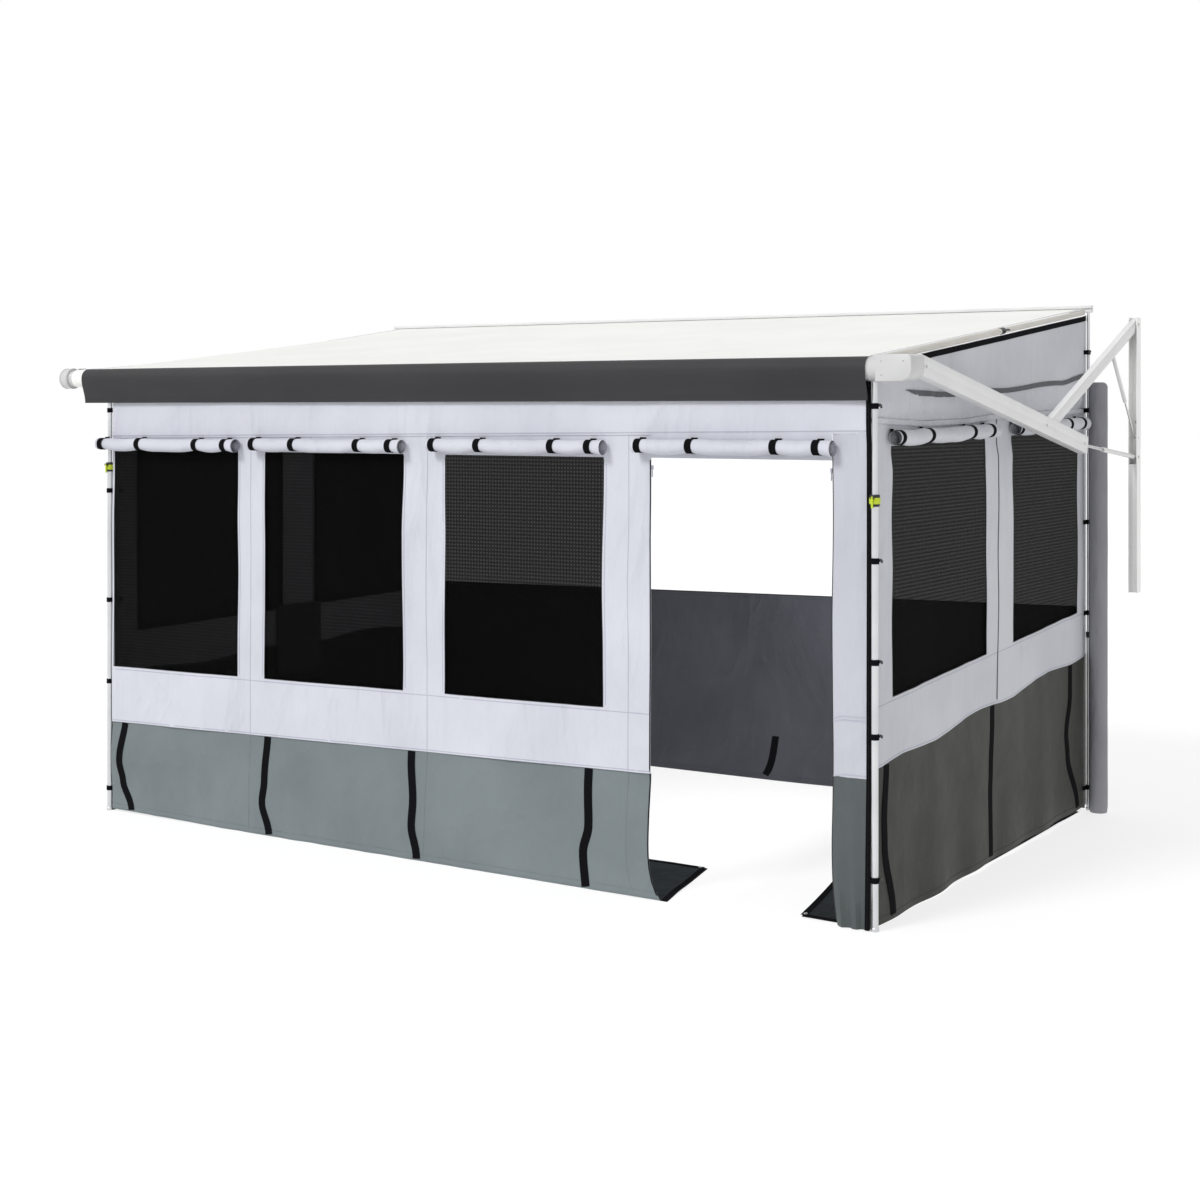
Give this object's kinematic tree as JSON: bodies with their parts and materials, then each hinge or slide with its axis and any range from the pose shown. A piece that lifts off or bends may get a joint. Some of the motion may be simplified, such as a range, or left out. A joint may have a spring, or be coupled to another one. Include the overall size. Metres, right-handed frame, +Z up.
{
  "type": "recreational vehicle awning room",
  "caption": "Roll-out vehicle awning on folding arms with an enclosed room of cloth walls, mesh windows, rolled covers, an open doorway and telescopic poles.",
  "frame": {"origin": "middle of the bounding box's base, on the ground", "axes": "+X along the vehicle's side, to the right seen from outside; +Y from the outside towards the vehicle; +Z up"},
  "size_m": [4.864, 2.6109, 2.485],
  "materials": {
    "white_cloth": "coated white cloth, matt, slightly wrinkled",
    "grey_cloth": "coated grey cloth, dull sheen",
    "dark_cloth": "dark grey coated cloth",
    "screen_cloth": "black insect mesh",
    "roof_cloth": "off-white coated awning cloth",
    "pad_cloth": "grey foam-filled pad",
    "white_metal": "white powder coat",
    "bare_metal": "satin tube",
    "side_rail": "beige tube",
    "lever": "lime green moulded lever",
    "slider": "black zip slider"
  },
  "bodies": {
    "root": {"awning_rail": "white_metal", "door_post_panel": "white_cloth", "door_roll": "white_cloth", "draught_skirt": "dark_cloth", "front_header": "white_cloth", "front_screen": "screen_cloth", "front_skirt": "grey_cloth", "front_window_panel": "white_cloth", "organiser_pocket": "dark_cloth", "pole_lower_fl": "bare_metal", "pole_lower_fr": "bare_metal", "pole_lower_rl": "bare_metal", "pole_lower_rr": "bare_metal", "side_roll_l_a": "white_cloth", "side_roll_l_b": "white_cloth", "side_roll_r_a": "white_cloth", "side_roll_r_b": "white_cloth", "side_screen_l": "screen_cloth", "side_screen_r": "screen_cloth", "side_skirt_l": "grey_cloth", "side_skirt_r": "grey_cloth", "side_wall_l": "white_cloth", "side_wall_r": "white_cloth", "wall_channel_l": "white_metal", "wall_channel_r": "white_metal", "wall_pad_l": "pad_cloth", "wall_pad_r": "pad_cloth", "window_roll_1": "white_cloth", "window_roll_2": "white_cloth", "window_roll_3": "white_cloth"},
    "roof": {"roof_fabric": "roof_cloth", "roller_tube": "white_metal", "roller_valance": "dark_cloth", "roller_head_r": "white_metal", "roller_head_l": "white_metal", "side_rail_r": "side_rail", "side_rail_l": "side_rail"},
    "flap_front": {"ground_flap_front": "dark_cloth"},
    "flap_r": {"ground_flap_r": "dark_cloth"},
    "flap_l": {"ground_flap_l": "dark_cloth"},
    "zip_l": {"zip_slider_l": "slider"},
    "zip_r": {"zip_slider_r": "slider"},
    "lever_fr": {"clamp_lever_fr": "lever"},
    "lever_fl": {"clamp_lever_fl": "lever"},
    "pole_top_fr": {"pole_upper_fr": "bare_metal"},
    "pole_top_fl": {"pole_upper_fl": "bare_metal"},
    "pole_top_rr": {"pole_upper_rr": "bare_metal"},
    "pole_top_rl": {"pole_upper_rl": "bare_metal"},
    "upper_arm_r": {"upper_arm_r": "white_metal"},
    "main_arm_r": {"main_arm_r": "white_metal"},
    "link_tube_r": {"link_tube_r": "white_metal"},
    "link_rod_r": {"link_rod_r": "bare_metal"},
    "gas_tube_r": {"gas_tube_r": "white_metal"},
    "gas_rod_r": {"gas_rod_r": "bare_metal"},
    "upper_arm_l": {"upper_arm_l": "white_metal"},
    "main_arm_l": {"main_arm_l": "white_metal"},
    "link_tube_l": {"link_tube_l": "white_metal"},
    "link_rod_l": {"link_rod_l": "bare_metal"},
    "gas_tube_l": {"gas_tube_l": "white_metal"},
    "gas_rod_l": {"gas_rod_l": "bare_metal"}
  },
  "joints": [
    {"name": "roof_pitch", "type": "hinge", "parent": "root", "child": "roof", "pos_m": [0, 1.28745, 2.468], "axis": [-1, 0, 0], "range_deg": [0, 1.5]},
    {"name": "upper_arm_swing_r", "type": "hinge", "parent": "root", "child": "upper_arm_r", "pos_m": [2.411, 1.27045, 2.385], "axis": [-0.9992, 0.0398, 0], "range_deg": [0, 1.75]},
    {"name": "main_arm_swing_r", "type": "hinge", "parent": "upper_arm_r", "child": "main_arm_r", "pos_m": [2.36609, 0.14399, 1.89321], "axis": [-0.9992, 0.0398, 0], "range_deg": [-0.36, 0]},
    {"name": "link_swing_r", "type": "hinge", "parent": "root", "child": "link_tube_r", "pos_m": [2.411, 1.27045, 1.742], "axis": [-0.9992, 0.0398, 0], "range_deg": [0, 1.8]},
    {"name": "link_reach_r", "type": "slide", "parent": "link_tube_r", "child": "link_rod_r", "axis": [-0.0396, -0.9942, 0.0995], "range_m": [0, 0.0195]},
    {"name": "gas_strut_swing_r", "type": "hinge", "parent": "upper_arm_r", "child": "gas_tube_r", "pos_m": [2.3984, 0.95448, 2.24705], "axis": [-0.9992, 0.0398, 0], "range_deg": [-1.5, 0]},
    {"name": "gas_strut_reach_r", "type": "slide", "parent": "gas_tube_r", "child": "gas_rod_r", "axis": [0.0244, 0.6111, -0.7912], "range_m": [0, 0.0105]},
    {"name": "upper_arm_swing_l", "type": "hinge", "parent": "root", "child": "upper_arm_l", "pos_m": [-2.411, 1.27045, 2.385], "axis": [-0.9971, -0.0763, 0], "range_deg": [0, 1.75]},
    {"name": "main_arm_swing_l", "type": "hinge", "parent": "upper_arm_l", "child": "main_arm_l", "pos_m": [-2.32494, 0.14634, 1.89296], "axis": [-0.9971, -0.0763, 0], "range_deg": [-0.36, 0]},
    {"name": "link_swing_l", "type": "hinge", "parent": "root", "child": "link_tube_l", "pos_m": [-2.411, 1.27045, 1.742], "axis": [-0.9971, -0.0763, 0], "range_deg": [0, 1.8]},
    {"name": "link_reach_l", "type": "slide", "parent": "link_tube_l", "child": "link_rod_l", "axis": [0.076, -0.9921, 0.0995], "range_m": [0, 0.0195]},
    {"name": "gas_strut_swing_l", "type": "hinge", "parent": "upper_arm_l", "child": "gas_tube_l", "pos_m": [-2.38686, 0.95517, 2.247], "axis": [-0.9971, -0.0763, 0], "range_deg": [-1.5, 0]},
    {"name": "gas_strut_reach_l", "type": "slide", "parent": "gas_tube_l", "child": "gas_rod_l", "axis": [-0.0467, 0.6099, -0.7911], "range_m": [0, 0.0105]},
    {"name": "pole_slide_fr", "type": "slide", "parent": "root", "child": "pole_top_fr", "axis": [0, 0, 1], "range_m": [-0.4, 0]},
    {"name": "pole_slide_fl", "type": "slide", "parent": "root", "child": "pole_top_fl", "axis": [0, 0, 1], "range_m": [-0.4, 0]},
    {"name": "pole_slide_rr", "type": "slide", "parent": "root", "child": "pole_top_rr", "axis": [0, 0, 1], "range_m": [-0.6, 0]},
    {"name": "pole_slide_rl", "type": "slide", "parent": "root", "child": "pole_top_rl", "axis": [0, 0, 1], "range_m": [-0.6, 0]},
    {"name": "lever_fr", "type": "hinge", "parent": "root", "child": "lever_fr", "pos_m": [2.18, -1.26305, 1.639], "axis": [-1, 0, 0], "range_deg": [0, 95]},
    {"name": "lever_fl", "type": "hinge", "parent": "root", "child": "lever_fl", "pos_m": [-1.933, -1.26305, 1.702], "axis": [-1, 0, 0], "range_deg": [0, 95]},
    {"name": "zip_l", "type": "slide", "parent": "root", "child": "zip_l", "axis": [0, 0, -1], "range_m": [0, 1.65]},
    {"name": "zip_r", "type": "slide", "parent": "root", "child": "zip_r", "axis": [0, 0, -1], "range_m": [0, 1.65]},
    {"name": "flap_front_lift", "type": "hinge", "parent": "root", "child": "flap_front", "pos_m": [-1.9097, -1.23515, 0.003], "axis": [0.9999, -0.0161, 0], "range_deg": [0, 80]},
    {"name": "flap_r_lift", "type": "hinge", "parent": "root", "child": "flap_r", "pos_m": [2.1567, 0, 0.003], "axis": [0, 1, 0], "range_deg": [0, 85]},
    {"name": "flap_l_lift", "type": "hinge", "parent": "root", "child": "flap_l", "pos_m": [-1.9097, 0, 0.003], "axis": [0, -1, 0], "range_deg": [0, 85]}
  ],
  "couplings": [
    {"joint": "upper_arm_swing_r", "follows": "roof_pitch", "ratio": 1.1218},
    {"joint": "main_arm_swing_r", "follows": "roof_pitch", "ratio": -0.2175},
    {"joint": "link_swing_r", "follows": "roof_pitch", "ratio": 1.146},
    {"joint": "link_reach_r", "follows": "roof_pitch", "m_per_rad": 0.709},
    {"joint": "gas_strut_swing_r", "follows": "roof_pitch", "ratio": -0.9354},
    {"joint": "gas_strut_reach_r", "follows": "roof_pitch", "m_per_rad": 0.3747},
    {"joint": "upper_arm_swing_l", "follows": "roof_pitch", "ratio": 1.1192},
    {"joint": "main_arm_swing_l", "follows": "roof_pitch", "ratio": -0.2167},
    {"joint": "link_swing_l", "follows": "roof_pitch", "ratio": 1.1432},
    {"joint": "link_reach_l", "follows": "roof_pitch", "m_per_rad": 0.7074},
    {"joint": "gas_strut_swing_l", "follows": "roof_pitch", "ratio": -0.9333},
    {"joint": "gas_strut_reach_l", "follows": "roof_pitch", "m_per_rad": 0.3739}
  ]
}
